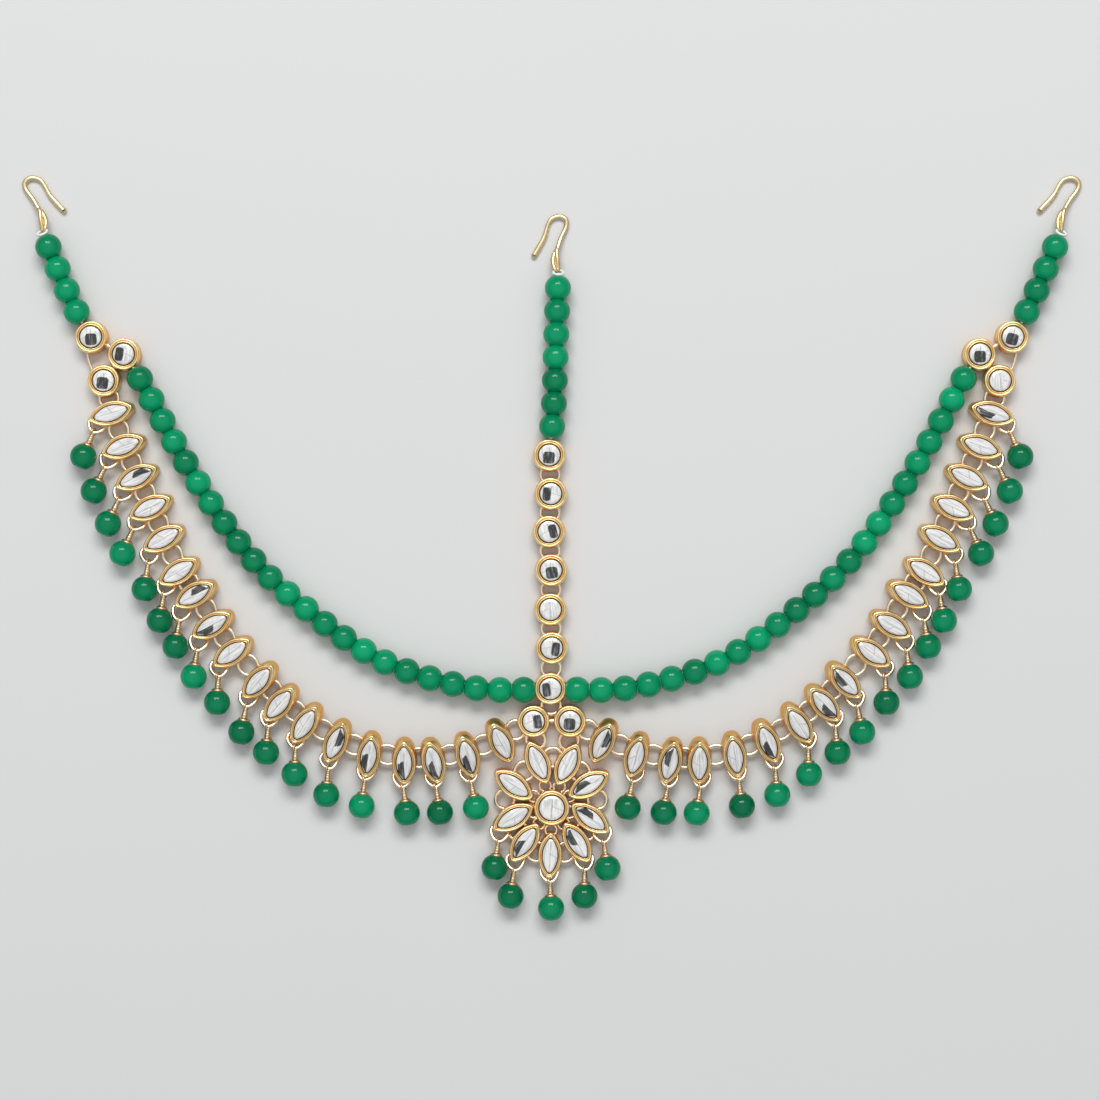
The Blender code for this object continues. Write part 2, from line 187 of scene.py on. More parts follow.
# The bezel's section from the foot to the stone's seat: inset, height and radius of a marquise's
# tip before the inset, in millimetres, and how deep in painted shade the row lies, from 0 to 1
BEZEL = (
    (0.40, 0.00, 1.3, 0.12),
    (0.08, 0.05, 1.3, 0.06),
    (-0.07, 0.25, 1.3, 0.10),
    (-0.09, 0.90, 1.2, 0.34),
    (-0.08, 1.80, 1.1, 0.36),
    (-0.06, 2.60, 1.0, 0.24),
    (-0.03, 3.10, 0.9, 0.08),
    (0.04, 3.42, 0.8, 0.00),
    (0.14, 3.64, 0.8, 0.00),
    (0.29, 3.75, 0.9, 0.00),
    (0.43, 3.71, 1.0, 0.06),
    (0.52, 3.52, 1.1, 0.42),
    (0.59, 3.58, 1.2, 0.26),
    (0.66, 3.71, 1.3, 0.00),
    (0.74, 3.74, 1.4, 0.00),
    (0.80, 3.66, 1.45, 0.15),
    (0.83, 3.45, 1.5, 0.70),
    (0.86, 3.25, 1.6, 1.00),
    (1.26, 3.18, 2.0, 1.00),
)
# The stone's rows from the girdle to the table: inset from the girdle and height in millimetres
STONE = ((0.00, 3.20), (0.03, 3.70), (0.14, 3.84), (0.42, 3.98), (0.86, 4.04))
GIRDLE_INSET = 0.00104
STONE_TIP = 0.0007
WIDEST_TIP = 0.0023
TIP_DRAW = 0.00034
TABLE_HEIGHT = 0.00406
LEAST_TIP = 0.00006
ROUND_RIM = 1.2
HOOD_TIP = 0.0026
BEZEL_QUARTER = 15
STONE_QUARTER = 9
SECTORS = 8
FACET_LEAN = 0.00002
# A pointed stone whose number lies below this share gets a painted dark reflection
DARK_REFLECTION_SHARE = 0.6
ROUND_NUMBER = 2
HAND_WAVE = 0.003
HAND_LIFT = 0.000014
RIM_FROM = 2.9
RING_ROWS = 30
WIRE_SIDES = 8
BEAD_SIDES = 32
CAP_SIDES = 16
HOOK_SIDES = 14
STRAND_SIDES = 12
BEAD_TUCK = 0.0003
STEM_RADIUS = 0.00056
STEM_FLARE = 0.0002
STEM_RIPPLE = 0.00003
EYE_RISE = 0.00038
EYE_RADIUS = 0.00074
EYE_WIRE = 0.00029
THREAD_RADIUS = 0.00033
THREAD_GRIP = 0.0004
SOLDER_RADIUS = 0.0006
BOW_OFFSET = 0.0018
BOW_BULGE = 0.0004
SHANK_SPREAD = 0.00056
SHANK_TWIST = 2.7
SHANK_WIDEST = 0.35
SIDE_HOOK_TURN = 11
CENTRE_HOOK_TURN = 2
LOOP_OUT = 0.0009
LOOP_RADIUS = 0.00112
LOOP_LEAN = 58
BAND_LINK_STRETCH = 1.16
BAND_END_REACH = 0.0031
PAIR_RING_REACH = 0.0044
SMALL_RING_REACH = 0.0045
SMALL_RING_RADIUS = 0.0013
SMALL_RING_WIRE = 0.0003
DROP_REACH = 0.0078
DROP_RING_LEAN = 24
DROP_RING_SWAY = 0.15
DROP_RING_INBOARD = 0.0020
DROP_RING_OUT = 0.00035
DROP_RING_DOWN = 0.00185
DROP_RING_POINT = 0.24
DROP_RING_STRETCH = 1.08
WIRE_ROUGHNESS = {"drawn_wire": 0.24, "dull_gold": 0.28, "hook_gold": 0.26}
FLOOR_REACH = 5.0
KEY_PLACE = (-0.05, 0.94, 1.17)
KEY_SIZE = (1.1, 0.42)
KEY_POWER = 16.0
SKY_COLOUR = (0.97, 0.98, 1.0, 1)
SKY_FADE = (0.05, 1.0, 0.15, 0.8)
CAMERA_ANGLE = 21.7
CAMERA_PLACE = (-0.0004, -0.0004, 0.6530)


class Surface:
    """Copies of numpy grids gathered into one mesh, with marks for its finish to read."""

    def __init__(self):
        self.points, self.loops, self.sizes, self.smooth = [], [], [], []
        self.shades, self.spots, self.tones = [], [], []
        self.count = 0

    def add(self, points, faces, smooth=True, shade=0.0, tone=0.0, spot=0.0):
        """Takes points of one or more copies, the faces of one copy as arrays of indices, a shade
        and a spot of three numbers for each point, and a tone for each face."""
        copies = points.reshape(-1, points.shape[-2], 3)
        number, size = copies.shape[:2]
        starts = self.count + np.arange(number)[:, None, None] * size
        first = 0
        total = sum(len(group) for group in faces)
        tones = np.broadcast_to(tone, (number, total))
        for group in faces:
            made = (group[None] + starts).reshape(-1, group.shape[1])
            self.loops.append(made.ravel())
            self.sizes.append(np.full(len(made), group.shape[1]))
            self.smooth.append(np.full(len(made), smooth))
            self.tones.append(tones[:, first : first + len(group)].ravel())
            first += len(group)
        self.points.append(copies.reshape(-1, 3))
        self.shades.append(np.broadcast_to(shade, (number, size)).ravel())
        self.spots.append(np.broadcast_to(spot, (number, size, 3)).ravel())
        self.count += number * size

    def mesh(self, name):
        """The gathered copies as one Blender mesh."""
        sizes = np.concatenate(self.sizes)
        loops = np.concatenate(self.loops)
        data = bpy.data.meshes.new(name)
        data.vertices.add(self.count)
        data.vertices.foreach_set("co", np.concatenate(self.points).ravel())
        data.loops.add(len(loops))
        data.loops.foreach_set("vertex_index", loops)
        data.polygons.add(len(sizes))
        data.polygons.foreach_set("loop_start", np.cumsum(sizes) - sizes)
        data.polygons.foreach_set("loop_total", sizes)
        data.polygons.foreach_set("use_smooth", np.concatenate(self.smooth))
        data.update(calc_edges=True)
        marks = (("shade", "POINT", self.shades), ("tone", "FACE", self.tones))
        for word, domain, values in marks:
            layer = data.attributes.new(word, "FLOAT", domain)
            layer.data.foreach_set("value", np.concatenate(values).astype(np.float32))
        layer = data.attributes.new("spot", "FLOAT_VECTOR", "POINT")
        layer.data.foreach_set("vector", np.concatenate(self.spots).astype(np.float32))
        return data


def grid_faces(rows, sides, ring=False):
    """Quads between the rows of a closed grid, joined end to end for a ring, else capped flat."""
    row, side = np.meshgrid(np.arange(rows - (not ring)), np.arange(sides), indexing="ij")
    after = (row + 1) % rows
    beside = (side + 1) % sides
    low, high = row * sides, after * sides
    quads = np.stack([low + side, low + beside, high + beside, high + side], axis=-1).reshape(-1, 4)
    if ring:
        return [quads]
    last = (rows - 1) * sides
    return [quads, np.arange(sides)[None, ::-1], last + np.arange(sides)[None]]


def size(word):
    """One of the panel's sizes."""
    return getattr(bpy.context.scene.jewel_sizes, word)


def circle(number):
    """Angles spread evenly round a circle."""
    return np.arange(number) * 2 * math.pi / number


def unit(vectors):
    """Vectors divided by their lengths."""
    return vectors / np.linalg.norm(vectors, axis=-1, keepdims=True)


def smooth_path(points, steps):
    """Catmull-Rom curve through the points: each span is a cubic whose slope at a point is half the
    way between its neighbours."""
    p = np.asarray(points, float)
    p = np.concatenate([[2 * p[0] - p[1]], p, [2 * p[-1] - p[-2]]])
    t = (np.arange(steps) / steps)[None, :, None]
    a, b, c, d = (p[i : len(p) - 3 + i, None] for i in range(4))
    spans = 0.5 * (
        2 * b + (c - a) * t + (2 * a - 5 * b + 4 * c - d) * t**2 + (3 * b - a - 3 * c + d) * t**3
    )
    return np.concatenate([spans.reshape(-1, 3), p[None, -2]])


def axes_along(path):
    """Unit vectors along, across and over a path that lies about flat."""
    along = unit(np.gradient(path, axis=-2))
    across = unit(np.cross(UP, along))
    return along, across, np.cross(along, across)


def swept(path, across_radius, over_radius, sides):
    """An oval section carried along a path: a circle of angles, stretched across and over it."""
    _, across, over = axes_along(path)
    angle = circle(sides)
    wide = np.broadcast_to(across_radius, path.shape[:-1])[..., None, None]
    high = np.broadcast_to(over_radius, path.shape[:-1])[..., None, None]
    ring = across[..., None, :] * np.cos(angle)[:, None] * wide
    ring = ring + over[..., None, :] * np.sin(angle)[:, None] * high
    grid = path[..., None, :] + ring
    return grid.reshape(*path.shape[:-2], -1, 3)


def ring_points(centre, ahead, normal, radius, wire, stretch=1.0, point=0.0):
    """A closed wire ring: a small circle carried round an oval that lies across the normal, is
    stretched ahead and narrows behind by the point's share. The small circle stands on the way
    square to the oval's slope."""
    beside = np.cross(normal, ahead)
    turn, angle = circle(RING_ROWS)[:, None], circle(WIRE_SIDES)[:, None]
    cosine, sine = np.cos(turn), np.sin(turn)
    line = radius * (stretch * cosine * ahead + sine * (1 + point * cosine) * beside)
    slope = cosine * (1 + point * cosine) - point * sine**2
    outward = unit(slope * ahead + stretch * sine * beside)
    round_wire = np.cos(angle) * outward[:, None] - np.sin(angle) * normal
    return (centre + line[:, None] + wire * round_wire).reshape(-1, 3)


def turned(profile, sides):
    """A profile of radius and height turned about +Z: every row is a circle."""
    angle = circle(sides)
    radius = profile[:, 0, None]
    height = np.broadcast_to(profile[:, 1, None], (len(profile), sides))
    grid = np.stack([radius * np.cos(angle), radius * np.sin(angle), height], axis=-1)
    return grid.reshape(-1, 3)


def stood(shape, places, headings):
    """Copies of a shape with its +Z turned to each heading, set down at each place."""
    across = unit(np.cross(UP, headings))
    over = np.cross(headings, across)
    basis = np.stack([across, over, headings], axis=1)
    return np.einsum("ni,kij->knj", shape, basis) + places[:, None]


def plan(point, side):
    """A place of the tables in metres, where side mirrors the left half to the right."""
    return FLOWER_PLACE + np.array([side * point[0] * PITCH, point[1] * PITCH, 0.0])


def spun(degrees):
    """A turn about +Z as a matrix."""
    angle = math.radians(degrees)
    c, s = math.cos(angle), math.sin(angle)
    return np.array([[c, -s, 0.0], [s, c, 0.0], [0.0, 0.0, 1.0]])


def tilted(degrees):
    """A turn about +X as a matrix: the one about +Z with its axes passed on by one."""
    return np.roll(spun(degrees), 1, axis=(0, 1))


Place = namedtuple("Place", "foot turn length width")


def round_place(point, side, diameter=ROUND_DIAMETER):
    return Place(plan(point, side), np.eye(3), diameter, diameter)


def marquise_place(centre, turn, tilt, side):
    """Where a marquise stands: its stone over the centre, its inner end raised by the tilt."""
    angle = turn if side == LEFT else 180 - turn
    matrix = spun(angle - 90) @ tilted(tilt)
    foot = centre - matrix[:, 2] * SETTING_HEIGHT
    foot[2] = MARQUISE_LENGTH / 2 * math.sin(math.radians(tilt))
    return Place(foot, matrix, MARQUISE_LENGTH, MARQUISE_WIDTH)


def band_places(side):
    rounds = [round_place(point, side) for point in (OUTER_ROUND, INNER_ROUND, LOWER_ROUND)]
    marquises = [marquise_place(plan((r.x, r.y), side), r.turn, r.tilt, side) for r in BAND]
    return rounds, marquises


def petal_place(petal):
    """A petal stands at its angle, out by a share of the touching distance from the centre."""
    reach = petal.reach * (FLOWER_ROUND_DIAMETER + MARQUISE_LENGTH) / 2
    centre = FLOWER_PLACE + reach * spun(petal.angle)[:, 0]
    return marquise_place(centre, petal.turn, 0, LEFT)


def marquise_outline(inset, tip, quarter):
    """Two equal arcs that meet at rounded tips. A point is set by the way its outward normal faces:
    on an arc about a centre beyond the far side, then on the tip's own circle. The tips draw in
    further than the sides as the inset grows."""
    inset = inset[:, None]
    tip = tip[:, None]
    half_width = MARQUISE_WIDTH / 2 - tip
    half_length = MARQUISE_LENGTH / 2 - tip - TIP_DRAW * np.clip(inset / GIRDLE_INSET, 0, 1)
    full = (half_width**2 + half_length**2) / (2 * half_width)
    beyond = full - half_width
    corner = np.maximum(tip - inset, LEAST_TIP)
    radius = full - (inset - tip + corner)
    widest = np.arccos(beyond / radius)
    bend = quarter // 3
    share = np.arange(1, bend + 1) / bend
    side = widest * np.linspace(0, 1, quarter + 1 - bend)
    facing = np.concatenate([side, widest + (math.pi / 2 - widest) * share], axis=1)
    arc = np.minimum(facing, widest)
    x = radius * np.cos(arc) - beyond + corner * np.cos(facing)
    y = radius * np.sin(arc) + corner * np.sin(facing)
    x = np.concatenate([x, -x[:, -2::-1], -x[:, 1:], x[:, -2:0:-1]], axis=1)
    y = np.concatenate([y, y[:, -2::-1], -y[:, 1:], -y[:, -2:0:-1]], axis=1)
    return x, y


def round_outline(inset, diameter, quarter):
    """A circle for each inset."""
    angle = circle(4 * quarter)
    radius = diameter / 2 - inset[:, None]
    return radius * np.cos(angle), radius * np.sin(angle)


def outline_of(place, inset, tip, quarter):
    """Rows of outline points for each inset and tip radius; round settings have wider rims."""
    if place.length > place.width:
        return marquise_outline(inset, tip, quarter)
    return round_outline(inset * ROUND_RIM, place.length, quarter)


def set_down(points, place):
    """A setting's own points turned and moved to its place."""
    return points @ place.turn.T + place.foot


def slow_waves(angle, swing, rng):
    """Cosines of 2 to 6 waves round an outline, of random sizes and starts, added up."""
    sizes = rng.normal(0, swing, (5, 1))
    starts = rng.uniform(0, 6.28, (5, 1))
    return (sizes * np.cos(np.arange(2, 7)[:, None] * angle + starts)).sum(axis=0)


def add_bezel(surface, place, rng):
    """The bezel's section carried round the outline, bent a little by slow waves as by hand. The
    foot's tips are blunter the more the setting is tilted."""
    inset, height, tip, shade = np.array(BEZEL).T
    tip = tip / 1000 + (height < RIM_FROM) * place.turn[2, 1] * HOOD_TIP
    x, y = outline_of(place, inset / 1000, tip, BEZEL_QUARTER)
    sides = x.shape[1]
    angle = circle(sides)
    bend = 1 + slow_waves(angle, HAND_WAVE, rng) * np.clip(1 - inset, 0, 1)[:, None]
    lift = slow_waves(angle, HAND_LIFT, rng)
    level = height[:, None] / 1000 + lift * (height[:, None] > RIM_FROM)
    grid = np.stack([x * bend, y * bend, level], axis=-1)
    points = set_down(grid.reshape(-1, 3), place)
    surface.add(points, grid_faces(len(inset), sides), shade=np.repeat(shade, sides))


def stone_spots(points, pointed, rng):
    """Each point's place on its stone, across and along from -1 to 1, mirrored and turned a little
    at random, and the stone's own number: up to 1 on a pointed stone, higher on a round one. A
    round stone isn't mirrored along, so its painted dark reflection stays at the bottom."""
    flips = rng.choice([-1, 1], 2) if pointed else [rng.choice([-1, 1]), 1]
    place = points[:, :2] / np.abs(points[:, :2]).max(axis=0) * flips
    turn = spun(math.degrees(rng.normal(0, 0.06 if pointed else 0.12)))[:2, :2]
    number = rng.uniform(0.3, 1) if pointed else ROUND_NUMBER + rng.uniform(0, 0.7)
    return np.concatenate([place @ turn, np.full((len(points), 1), number)], axis=1)


def add_stone(surface, place, rng):
    """A stone of 8 sectors: girdle, crown and table facets, each row an inset of the outline, and a
    middle point. The table's facets lean a hair apart."""
    inset, height = np.array(STONE).T / 1000
    inset = inset + GIRDLE_INSET
    tip = np.minimum(inset + STONE_TIP, WIDEST_TIP)
    x, y = outline_of(place, inset, tip, STONE_QUARTER)
    rows, sides = x.shape
    level = np.repeat(height[:, None], sides, axis=1)
    sector = np.arange(sides) * SECTORS // sides
    level[-1] += rng.uniform(-1, 1, SECTORS)[sector] * FACET_LEAN
    grid = np.stack([x, y, level], axis=-1).reshape(-1, 3)
    local = np.concatenate([grid, [[0.0, 0.0, TABLE_HEIGHT]]])
    quads, floor, _ = grid_faces(rows, sides)
    rim = (rows - 1) * sides + np.arange(sides)
    fan = np.stack([rim, np.roll(rim, -1), np.full(sides, rows * sides)], axis=-1)
    tones = rng.uniform(0, 1, (rows, SECTORS))[:, sector]
    tones = np.concatenate([tones[:-1].ravel(), [0.5], tones[-1]])
    spots = stone_spots(local, place.length > place.width, rng)
    points = set_down(local, place)
    surface.add(points, [quads, floor, fan], smooth=False, tone=tones, spot=spots)


def add_ring(surface, centre, ahead, radius=None, wire=None, lean=0.0, stretch=1.0, point=0.0):
    """A round wire ring about a centre; lean lowers its far side, in degrees. Its tone follows the
    count of points before it, so that neighbours differ."""
    ahead = unit(np.asarray(ahead, float))
    beside = unit(np.cross(UP, ahead))
    angle = math.radians(lean)
    ahead = ahead * math.cos(angle) - UP * math.sin(angle)
    normal = np.cross(ahead, beside)
    radius = radius or (size("ring") - size("ring_wire")) / 2
    wire = wire or size("ring_wire") / 2
    points = ring_points(centre, ahead, normal, radius, wire, stretch, point)
    tone = surface.count * 0.00161 % 1
    surface.add(points, grid_faces(RING_ROWS, WIRE_SIDES, ring=True), tone=tone)


def between(first, second, first_reach, second_reach):
    """The middle of the gap between two settings, and the way from one to the other."""
    run = (second.foot - first.foot) * FLAT
    length = np.linalg.norm(run)
    ahead = run / length
    middle = first.foot + ahead * (first_reach + (length - first_reach - second_reach) / 2)
    return np.array([middle[0], middle[1], RING_SEAT]), ahead


def link(surface, first, second, first_reach=None, second_reach=None, stretch=1.0):
    """A jump ring that joins two settings across the gap between them."""
    reaches = first_reach or first.width / 2, second_reach or second.width / 2
    centre, ahead = between(first, second, *reaches)
    add_ring(surface, centre, ahead, stretch=stretch)


def solder(surface, first, second, offset=0.0, bulge=0.0, radius=SOLDER_RADIUS):
    """A short bar between two settings, bowed by a parabola where it is what shows of a ring."""
    run = unit((second.foot - first.foot) * FLAT)
    across = np.cross(UP, run)
    start = first.foot + across * offset + run * first.width * 0.3
    end = second.foot + across * offset - run * second.width * 0.3
    start[2] = end[2] = RING_SEAT
    share = np.linspace(0, 1, 13)[:, None]
    bow = across * math.copysign(bulge, offset) * (1 - (2 * share - 1) ** 2)
    path = start + (end - start) * share + bow
    points = swept(path, radius, radius, WIRE_SIDES)
    surface.add(points, grid_faces(len(path), WIRE_SIDES), tone=0.5)


def trimmed(points, first_cut, last_cut):
    """The route with a length cut from each end."""
    start = points[0] + unit(points[1] - points[0]) * first_cut
    end = points[-1] + unit(points[-2] - points[-1]) * last_cut
    kept = [
        p
        for p in points[1:-1]
        if np.linalg.norm(p - points[0]) > first_cut and np.linalg.norm(p - points[-1]) > last_cut
    ]
    return np.array([start, *kept, end])


def lengths_along(path):
    """The length of the way from a path's start to each of its points."""
    steps = np.linalg.norm(np.diff(path, axis=0), axis=1)
    return np.concatenate([[0], np.cumsum(steps)])


def points_along(route, distances):
    """Points at distances along a polyline, by its running length."""
    run = lengths_along(route)
    return np.stack([np.interp(distances, run, route[:, axis]) for axis in range(3)], axis=-1)


def bead_shape():
    """A ball cut flat at both holes: polar angles between them, then each hole's lip and wall."""
    radius = size("bead") / 2
    half = BEAD_LENGTH / 2
    start = math.acos(half / radius)
    polar = np.linspace(math.pi - start, start, 19)
    ball = np.stack([radius * np.sin(polar), radius * np.cos(polar)], axis=-1)
    lip = np.array(BEAD_LIP) / 1000 + [0, half]
    profile = np.concatenate([lip[::-1] * [1, -1], ball, lip])
    return turned(profile, BEAD_SIDES), grid_faces(len(profile), BEAD_SIDES)


def add_beads(surface, centres, headings, rng, dark=0.0):
    """Copies of the bead. The shade mark grows from 0 to 1 down the jewel, for the side away from
    the lamp that its finish paints lighter, as light shining through the glass."""
    shape, faces = bead_shape()
    count = sum(len(group) for group in faces)
    tones = np.clip(rng.normal(0.55 - dark, 0.18, (len(centres), 1)), 0, 1)
    points = stood(shape, centres, headings)
    # Painted light: the mark runs down each bead, so that its finish lightens the side away from
    # the lamp
    shade = 0.5 - (points - centres[:, None])[..., 1] / BEAD_RADIUS / 2
    surface.add(points, faces, shade=shade, tone=np.repeat(tones, count, axis=1))


def string_beads(surface, route, rng):
    """Beads end to end along a route at the table's height."""
    length = lengths_along(route)[-1]
    count = max(1, round(length / (BEAD_LENGTH + BEAD_PLAY)))
    ends = points_along(route, np.arange(count + 1) * length / count)
    centres = (ends[1:] + ends[:-1]) / 2
    centres[:, 2] = BEAD_RADIUS
    add_beads(surface, centres, unit((ends[1:] - ends[:-1]) * FLAT), rng)


def string_routes(side):
    """The long route and the end route of one side, each cut clear of the settings it leaves."""
    cut = ROUND_DIAMETER / 2 + CLEARANCE
    points = [plan(point, side) for point in (INNER_ROUND, *LONG_ROUTE)] + [plan(COLUMN[-1], LEFT)]
    long = trimmed(points, cut, ROUND_DIAMETER / 2 - BEAD_TUCK)
    points = [plan(point, side) for point in (OUTER_ROUND, *END_ROUTE)]
    return long, trimmed(points, cut, 0)


def centre_route():
    points = [plan(point, LEFT) for point in (COLUMN[0], *CENTRE_ROUTE)]
    return trimmed(points, ROUND_DIAMETER / 2 + CLEARANCE, 0)


def add_thread(surface, route, start_reach, end_reach):
    """The thread inside a string's beads, out to what it is tied to at each end."""
    start = route[0] - unit(route[1] - route[0]) * start_reach
    end = route[-1] + unit(route[-1] - route[-2]) * end_reach
    path = np.array([start, *route, end])
    path[:, 2] = BEAD_RADIUS
    path[0, 2] = path[-1, 2] = BEAD_RADIUS * 0.85
    points = swept(path, THREAD_RADIUS, THREAD_RADIUS, WIRE_SIDES)
    surface.add(points, grid_faces(len(path), WIRE_SIDES))


def add_cap(surface, centre, heading, top):
    """A drop's skirted cap and wrapped stem as one profile turned about the drop's axis, and a wire
    eye at its top. The stem narrows upwards by a square law, with a ripple for each turn of the
    wrapped wire."""
    cap = np.array(CAP) / 1000 + [0, BEAD_LENGTH / 2]
    rows = 17
    height = np.linspace(cap[-1, 1], top, rows)
    ripple = STEM_RIPPLE * np.cos(np.arange(rows) * math.pi / 2)
    radius = STEM_RADIUS + STEM_FLARE * np.linspace(1, 0, rows) ** 2 + ripple
    stem = np.stack([radius, height], axis=-1)
    profile = np.concatenate([cap, stem[1:], [[0.00025, top + 0.00012]]])
    points = stood(turned(profile, CAP_SIDES), centre[None], heading[None])
    surface.add(points, grid_faces(len(profile), CAP_SIDES), tone=0.3)
    side = unit(np.cross(UP, heading) * 0.7 + UP)
    eye = centre + heading * (top + EYE_RISE)
    points = ring_points(eye, heading, np.cross(heading, side), EYE_RADIUS, EYE_WIRE)
    surface.add(points, grid_faces(RING_ROWS, WIRE_SIDES, ring=True), tone=0.1)


def drop_places(side):
    """For each drop of a band, or of the flower for side 0: the bead's centre and the way up along
    its hole, towards where its jump ring pulls."""
    if side:
        rows = [
            (place, -1, -side * row.lean, row.slack)
            for row, place in zip(BAND, band_places(side)[1])
            if row.lean is not None
        ]
    else:
        rows = [(petal_place(p), 1, p.lean, p.slack) for p in PETALS if p.lean is not None]
    found = []
    for place, end, lean, slack in rows:
        tip = set_down(np.array([0.0, end * place.length / 2, SETTING_HEIGHT]), place)
        down = -spun(-lean)[:, 1]
        hang = BEAD_LENGTH / 2 + CAP_HEIGHT + STEM_LENGTH + slack * RING_DIAMETER
        centre = (tip + down * hang) * FLAT + UP * BEAD_RADIUS
        inboard = place.turn[:, 1] * -end * DROP_RING_INBOARD
        pull = tip + inboard + np.array([side * DROP_RING_OUT, -abs(side) * DROP_RING_DOWN, 0.0])
        found.append((centre, unit((pull - centre) * FLAT)))
    return found


def add_drops(beads, metal, rings, side, rng):
    """Beads, their caps with eyes, and the jump rings that reach back under the settings."""
    found = drop_places(side)
    centres = np.array([place for place, _ in found])
    headings = np.array([heading for _, heading in found])
    add_beads(beads, centres, headings, rng, dark=0.25)
    radius = (size("drop_ring") - size("ring_wire")) / 2
    reach = radius * DROP_RING_STRETCH
    lean = math.radians(DROP_RING_LEAN)
    shape = {"stretch": DROP_RING_STRETCH, "point": DROP_RING_POINT}
    for centre, heading in found:
        add_cap(metal, centre, heading, DROP_REACH - reach * math.cos(lean) - EYE_RISE)
        middle = centre + heading * DROP_REACH - UP * reach * math.sin(lean)
        ahead = spun(math.degrees(rng.normal(0, DROP_RING_SWAY))) @ heading
        add_ring(rings, middle, ahead, radius=radius, lean=DROP_RING_LEAN, **shape)


def hook_path(rows, foot, turn, side):
    """Places of a hook's table set on its foot, in metres, smoothed."""
    table = np.array(rows)
    flat = np.stack([side * table[:, 0], table[:, 1], table[:, 2] * 0], axis=-1) * HOOK_HEIGHT
    points = flat @ spun(turn).T + foot * FLAT
    points[:, 2] = np.maximum(table[:, 2] * BEAD_RADIUS, HOOK_WIRE / 2)
    return smooth_path(points, 8)


def rounded_ends(path, radius):
    """How much of its radius a wire keeps along its path, so that it ends in half balls: the height
    of a circle at each length from the end."""
    run = lengths_along(path)
    gone = 1 - np.clip(np.minimum(run, run[-1] - run) / radius, 0, 1)
    return np.maximum(np.sqrt(1 - gone**2), 0.12)


def add_hook(surface, foot, turn, side):
    """A bent wire that thins and widens along its free leg, over a shank of two wires twisted about
    its middle: each strand is a helix whose spread closes at both ends."""
    radius = size("hook_wire") / 2
    path = hook_path(HOOK, foot, turn, side)
    ends = np.array([[0.15], [0.35], [0.6], [0.85]]) * radius
    tail = path[-1] - unit(path[-1] - path[-2]) * ends[::-1]
    path = np.concatenate([path[:-1], tail, path[-1:]])
    share = np.linspace(0, 1, len(path))
    wide = radius * np.interp(share, *HOOK_THICKNESS) * rounded_ends(path, radius)
    points = swept(path, wide, wide * 0.92, HOOK_SIDES)
    surface.add(points, grid_faces(len(path), HOOK_SIDES), tone=0.65)
    middle = hook_path(SHANK, foot, turn, side)
    _, across, over = axes_along(middle)
    share = np.linspace(0, 1, len(middle))[:, None]
    spread = np.interp(share, *STRAND_SPREAD) * SHANK_SPREAD
    for strand in (0, math.pi):
        angle = strand + side * SHANK_TWIST * (share - SHANK_WIDEST)
        path = middle + across * np.cos(angle) * spread + over * np.sin(angle) * spread * 0.7
        thick = radius * 0.92 * np.interp(share[:, 0], *STRAND_THICKNESS)
        points = swept(path, thick, thick, STRAND_SIDES)
        surface.add(points, grid_faces(len(path), STRAND_SIDES), tone=0.1)


def add_loop(surface, end, heading):
    """The nylon loop that ties a string's last bead to its hook, through the shank's foot."""
    centre = end + heading * LOOP_OUT + UP * BEAD_RADIUS
    add_ring(surface, centre, heading, LOOP_RADIUS, size("thread") / 2, LOOP_LEAN)


class Signal:
    """A shader socket whose arithmetic adds Math nodes."""

    def __init__(self, finish, socket):
        self.finish = finish
        self.socket = socket

    def _with(self, operation, first, second):
        return self.finish.node("ShaderNodeMath", {"operation": operation}, {0: first, 1: second})

    def __add__(self, other):
        return self._with("ADD", self, other)

    __radd__ = __add__

    def __sub__(self, other):
        return self._with("SUBTRACT", self, other)

    def __rsub__(self, other):
        return self._with("SUBTRACT", other, self)

    def __mul__(self, other):
        return self._with("MULTIPLY", self, other)

    def __pow__(self, other):
        return self._with("POWER", self, other)

    def __abs__(self):
        return self._with("ABSOLUTE", self, 0.0)


